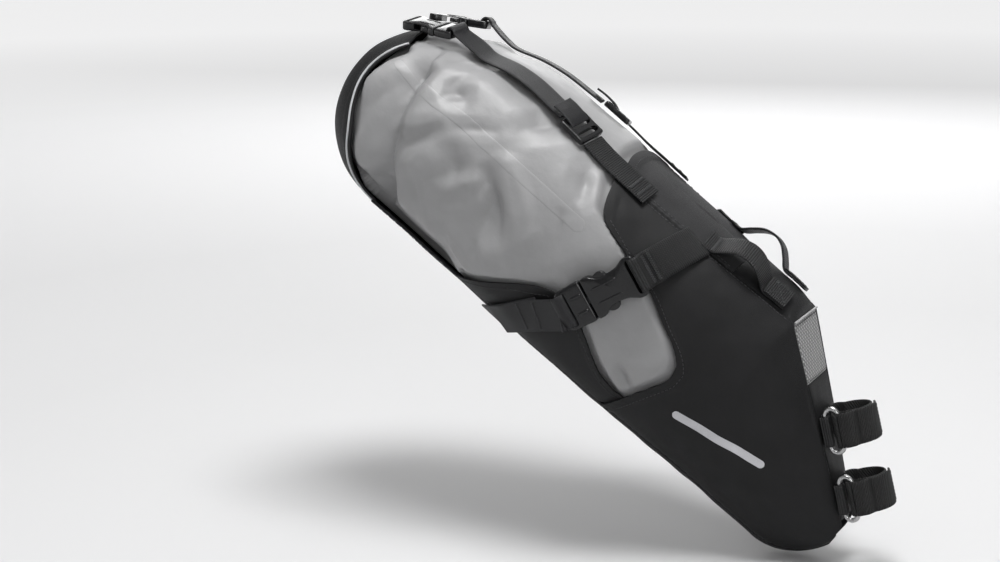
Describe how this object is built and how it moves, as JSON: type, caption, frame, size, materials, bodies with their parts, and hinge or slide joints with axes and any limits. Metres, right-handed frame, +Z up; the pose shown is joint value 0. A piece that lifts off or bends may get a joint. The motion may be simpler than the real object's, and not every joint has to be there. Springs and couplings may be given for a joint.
{
  "type": "saddle bag",
  "caption": "Bikepacking seat pack: a black harness that straps to seatpost and saddle rails and holds a roll-top dry bag.",
  "frame": {"origin": "on the seatpost's axis, midway between the two seatpost straps", "axes": "+X forward along the bicycle, +Y to the rider's left, +Z up; the bag rises rearward at 37.5 degrees and the seatpost leans back 14 degrees"},
  "size_m": [0.4314, 0.1922, 0.376],
  "materials": {
    "harness_fabric": "matte",
    "yoke_fabric": "matte",
    "webbing": "matte",
    "twill_strap": "matte",
    "hook_strap": "matte",
    "plastic": "gloss",
    "ring_metal": "polished",
    "piping": "satin",
    "patch": "satin",
    "dry_fabric": "matte"
  },
  "bodies": {
    "harness": {"closure_buckle_female": "plastic", "closure_d_ring": "plastic", "closure_tab_left": "webbing", "closure_tab_right": "webbing", "dry_bag_body": "dry_fabric", "dry_bag_closure": "dry_fabric", "front_panel": "harness_fabric", "front_top_panel": "harness_fabric", "rail_strap_left": "webbing", "rail_strap_right": "webbing", "ring_tab_lower": "webbing", "ring_tab_upper": "webbing", "seatpost_patch": "patch", "seatpost_strap_lower": "hook_strap", "seatpost_strap_upper": "hook_strap", "side_buckle_left_male": "plastic", "side_buckle_right_male": "plastic", "side_panel_left": "harness_fabric", "side_panel_right": "harness_fabric", "side_strap_left": "webbing", "side_strap_right": "webbing", "side_tab_left": "webbing", "side_tab_right": "webbing", "strap_ring_lower": "ring_metal", "strap_ring_upper": "ring_metal", "tail_flap": "harness_fabric", "tail_piping_left": "piping", "tail_piping_right": "piping", "top_anchor_left": "webbing", "top_anchor_right": "webbing", "top_buckle_left_female": "plastic", "top_buckle_right_female": "plastic", "top_strap_left": "twill_strap", "top_strap_right": "twill_strap", "underside_tongue": "harness_fabric", "wing_left": "harness_fabric", "wing_right": "harness_fabric", "yoke_panel": "yoke_fabric"},
    "side_buckle_right_housing": {"side_buckle_right_female": "plastic"},
    "side_buckle_right_arm_a": {"side_buckle_right_arm_a": "plastic"},
    "side_buckle_right_arm_b": {"side_buckle_right_arm_b": "plastic"},
    "top_buckle_right_plug": {"top_buckle_right_male": "plastic"},
    "top_buckle_right_arm_a": {"top_buckle_right_arm_a": "plastic"},
    "top_buckle_right_arm_b": {"top_buckle_right_arm_b": "plastic"},
    "ladder_lock_right": {"ladder_lock_right": "plastic"},
    "side_buckle_left_housing": {"side_buckle_left_female": "plastic"},
    "side_buckle_left_arm_a": {"side_buckle_left_arm_a": "plastic"},
    "side_buckle_left_arm_b": {"side_buckle_left_arm_b": "plastic"},
    "top_buckle_left_plug": {"top_buckle_left_male": "plastic"},
    "top_buckle_left_arm_a": {"top_buckle_left_arm_a": "plastic"},
    "top_buckle_left_arm_b": {"top_buckle_left_arm_b": "plastic"},
    "ladder_lock_left": {"ladder_lock_left": "plastic"},
    "closure_buckle_plug": {"closure_buckle_male": "plastic"},
    "free_end_upper": {"free_end_upper": "hook_strap"},
    "free_end_lower": {"free_end_lower": "hook_strap"}
  },
  "joints": [
    {"name": "side_buckle_right_slide", "type": "slide", "parent": "harness", "child": "side_buckle_right_housing", "axis": [0.8544, 0.157, 0.4954], "range_m": [0, 0.024], "deforming": ["side_strap_right"]},
    {"name": "side_buckle_right_arm_a_squeeze", "type": "hinge", "parent": "harness", "child": "side_buckle_right_arm_a", "pos_m": [-0.16809, -0.08624, 0.10876], "axis": [0.1739, -0.9847, 0.012], "range_deg": [0, 8], "stiffness_Nm_per_rad": 0.02},
    {"name": "side_buckle_right_arm_b_squeeze", "type": "hinge", "parent": "harness", "child": "side_buckle_right_arm_b", "pos_m": [-0.17763, -0.08772, 0.1257], "axis": [0.1739, -0.9847, 0.012], "range_deg": [-8, 0], "stiffness_Nm_per_rad": 0.02},
    {"name": "top_buckle_right_slide", "type": "slide", "parent": "harness", "child": "top_buckle_right_plug", "axis": [0.9721, -0.2023, -0.1186], "range_m": [0, 0.018], "deforming": ["top_strap_right"]},
    {"name": "top_buckle_right_arm_a_squeeze", "type": "hinge", "parent": "top_buckle_right_plug", "child": "top_buckle_right_arm_a", "pos_m": [-0.31488, -0.01752, 0.29257], "axis": [0.0899, -0.1454, 0.9853], "range_deg": [0, 8], "stiffness_Nm_per_rad": 0.0098},
    {"name": "top_buckle_right_arm_b_squeeze", "type": "hinge", "parent": "top_buckle_right_plug", "child": "top_buckle_right_arm_b", "pos_m": [-0.31783, -0.03074, 0.29089], "axis": [0.0899, -0.1454, 0.9853], "range_deg": [-8, 0], "stiffness_Nm_per_rad": 0.0098},
    {"name": "ladder_lock_right_tilt", "type": "hinge", "parent": "harness", "child": "ladder_lock_right", "pos_m": [-0.19312, -0.03719, 0.22213], "axis": [0.2755, 0.9392, 0.2047], "range_deg": [0, 30]},
    {"name": "side_buckle_left_slide", "type": "slide", "parent": "harness", "child": "side_buckle_left_housing", "axis": [0.8544, -0.157, 0.4954], "range_m": [0, 0.024], "deforming": ["side_strap_left"]},
    {"name": "side_buckle_left_arm_a_squeeze", "type": "hinge", "parent": "harness", "child": "side_buckle_left_arm_a", "pos_m": [-0.17763, 0.08772, 0.1257], "axis": [0.1739, 0.9847, 0.012], "range_deg": [0, 8], "stiffness_Nm_per_rad": 0.02},
    {"name": "side_buckle_left_arm_b_squeeze", "type": "hinge", "parent": "harness", "child": "side_buckle_left_arm_b", "pos_m": [-0.16809, 0.08624, 0.10876], "axis": [0.1739, 0.9847, 0.012], "range_deg": [-8, 0], "stiffness_Nm_per_rad": 0.02},
    {"name": "top_buckle_left_slide", "type": "slide", "parent": "harness", "child": "top_buckle_left_plug", "axis": [0.9721, 0.2023, -0.1186], "range_m": [0, 0.018], "deforming": ["top_strap_left"]},
    {"name": "top_buckle_left_arm_a_squeeze", "type": "hinge", "parent": "top_buckle_left_plug", "child": "top_buckle_left_arm_a", "pos_m": [-0.31783, 0.03074, 0.29089], "axis": [0.0899, 0.1454, 0.9853], "range_deg": [0, 8], "stiffness_Nm_per_rad": 0.0098},
    {"name": "top_buckle_left_arm_b_squeeze", "type": "hinge", "parent": "top_buckle_left_plug", "child": "top_buckle_left_arm_b", "pos_m": [-0.31488, 0.01752, 0.29257], "axis": [0.0899, 0.1454, 0.9853], "range_deg": [-8, 0], "stiffness_Nm_per_rad": 0.0098},
    {"name": "ladder_lock_left_tilt", "type": "hinge", "parent": "harness", "child": "ladder_lock_left", "pos_m": [-0.19312, 0.03719, 0.22213], "axis": [-0.2755, 0.9392, -0.2047], "range_deg": [0, 30]},
    {"name": "closure_buckle_slide", "type": "slide", "parent": "harness", "child": "closure_buckle_plug", "axis": [0, 1, 0], "range_m": [0, 0.012], "deforming": ["closure_tab_left"]},
    {"name": "free_end_upper_peel", "type": "hinge", "parent": "harness", "child": "free_end_upper", "pos_m": [-0.00877, -0.02385, 0.02358], "axis": [0.2419, 0, -0.9703], "range_deg": [0, 100]},
    {"name": "free_end_lower_peel", "type": "hinge", "parent": "harness", "child": "free_end_lower", "pos_m": [0.00333, -0.02385, -0.02493], "axis": [0.2419, 0, -0.9703], "range_deg": [0, 100]}
  ],
  "couplings": [
    {"joint": "side_buckle_right_arm_b_squeeze", "follows": "side_buckle_right_arm_a_squeeze", "ratio": -1},
    {"joint": "top_buckle_right_arm_b_squeeze", "follows": "top_buckle_right_arm_a_squeeze", "ratio": -1},
    {"joint": "side_buckle_left_arm_b_squeeze", "follows": "side_buckle_left_arm_a_squeeze", "ratio": -1},
    {"joint": "top_buckle_left_arm_b_squeeze", "follows": "top_buckle_left_arm_a_squeeze", "ratio": -1}
  ]
}
